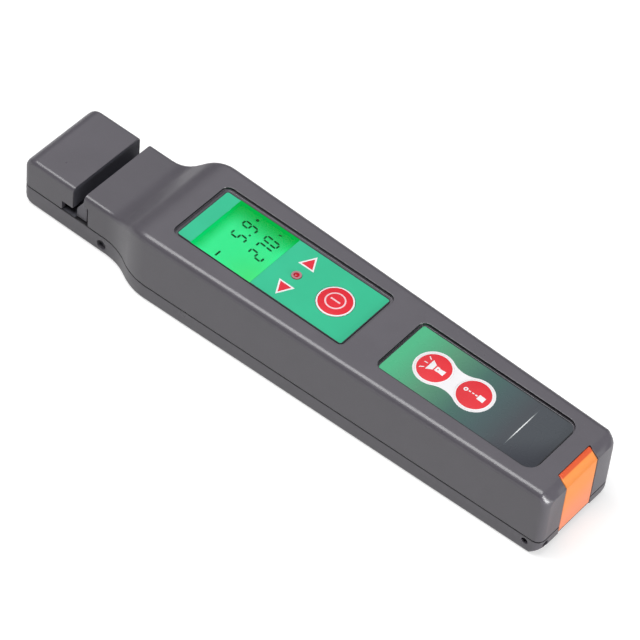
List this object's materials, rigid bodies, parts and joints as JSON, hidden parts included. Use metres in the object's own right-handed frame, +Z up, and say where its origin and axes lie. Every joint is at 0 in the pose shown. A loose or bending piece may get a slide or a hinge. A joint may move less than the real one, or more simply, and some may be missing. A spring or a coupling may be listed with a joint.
{
  "type": "optical fibre identifier",
  "caption": "Hand-held optical fibre identifier: a sprung jaw at the head bends a fibre over detectors; display, keys, laser port and torch on a tapered body.",
  "frame": {"origin": "under the middle of the back, on the plane that the tool lies on", "axes": "+X from the head to the tail, +Y across, +Z up through the display"},
  "size_m": [0.202, 0.0412, 0.027],
  "materials": {
    "shell_grey": "fine moulded grain",
    "plunger_grey": "fine moulded grain",
    "trigger_dark": "fine moulded grain",
    "pad_rubber": "matt",
    "detector_black": "satin",
    "sensor_dark": "polished",
    "steel": "plated",
    "board_green": "solder mask",
    "flex_amber": "film",
    "membrane_green": "printed film",
    "membrane_slate": "printed film, fading to slate grey",
    "window_clear": "polished",
    "lcd_green": "polished",
    "key_red": "satin",
    "power_red": "satin",
    "stem_dark": "moulded",
    "backlight_white": "diffusing",
    "lens_red": "polished",
    "led_white": "moulded",
    "chip_black": "moulded",
    "cell_sleeve": "satin sleeve",
    "brass": "turned",
    "port_metal": "turned and plated",
    "lamp_clear": "moulded",
    "cover_orange": "satin"
  },
  "bodies": {
    "case": {"lower_shell": "shell_grey", "upper_shell": "shell_grey", "head_cap": "shell_grey", "anvil_block": "detector_black", "photodiodes": "sensor_dark", "detector_board": "board_green", "detector_flex": "flex_amber", "trigger_pin": "steel", "trigger_spring": "steel", "display_overlay": "membrane_green", "lcd_window": "window_clear", "control_overlay": "membrane_slate", "switch_bodies": "steel", "lcd_glass": "lcd_green", "lcd_backlight": "backlight_white", "lcd_gasket": "pad_rubber", "zebra_strips": "pad_rubber", "status_lens": "lens_red", "status_led": "led_white", "direction_leds": "led_white", "main_board": "board_green", "microcontroller": "chip_black", "amplifier_chips": "chip_black", "buzzer": "chip_black", "board_screws": "steel", "battery_1": "cell_sleeve", "battery_2": "cell_sleeve", "battery_springs": "steel", "battery_plates": "steel", "laser_module": "brass", "laser_port": "port_metal", "torch_led": "lamp_clear", "torch_lens": "window_clear", "tail_board": "board_green", "cover_pin": "steel", "case_screws": "steel", "cap_screws": "steel", "cap_liner": "pad_rubber", "slot_pad": "pad_rubber"},
    "trigger": {"trigger": "trigger_dark"},
    "plunger": {"plunger": "plunger_grey", "bend_pad": "pad_rubber"},
    "power_key": {"power_button": "power_red", "power_actuator": "stem_dark"},
    "torch_key": {"torch_button": "key_red", "torch_actuator": "stem_dark"},
    "laser_key": {"laser_button": "key_red", "laser_actuator": "stem_dark"},
    "cover": {"port_cover": "cover_orange"},
    "door": {"battery_door": "shell_grey"}
  },
  "joints": [
    {"name": "trigger_pivot", "type": "hinge", "parent": "case", "child": "trigger", "pos_m": [-0.0687, 0, 0.0035], "axis": [0, -1, 0], "range_deg": [0, 12], "deforming": ["trigger_spring"]},
    {"name": "plunger_slide", "type": "slide", "parent": "case", "child": "plunger", "axis": [1, 0, 0], "range_m": [0, 0.0044], "stiffness_N_per_m": 1360, "springref_m": -0.0052},
    {"name": "power_press", "type": "slide", "parent": "case", "child": "power_key", "axis": [0, 0, -1], "range_m": [0, 0.0005], "stiffness_N_per_m": 2000, "springref_m": -0.0004},
    {"name": "torch_press", "type": "slide", "parent": "case", "child": "torch_key", "axis": [0, 0, -1], "range_m": [0, 0.0005], "stiffness_N_per_m": 2000, "springref_m": -0.0004},
    {"name": "laser_press", "type": "slide", "parent": "case", "child": "laser_key", "axis": [0, 0, -1], "range_m": [0, 0.0005], "stiffness_N_per_m": 2000, "springref_m": -0.0004},
    {"name": "cover_hinge", "type": "hinge", "parent": "case", "child": "cover", "pos_m": [0.0995, 0, 0.0046], "axis": [0, 1, 0], "range_deg": [0, 90]},
    {"name": "door_slide", "type": "slide", "parent": "case", "child": "door", "axis": [1, 0, 0], "range_m": [0, 0.015]}
  ],
  "couplings": [
    {"joint": "trigger_pivot", "follows": "plunger_slide", "rad_per_m": 47.59}
  ]
}
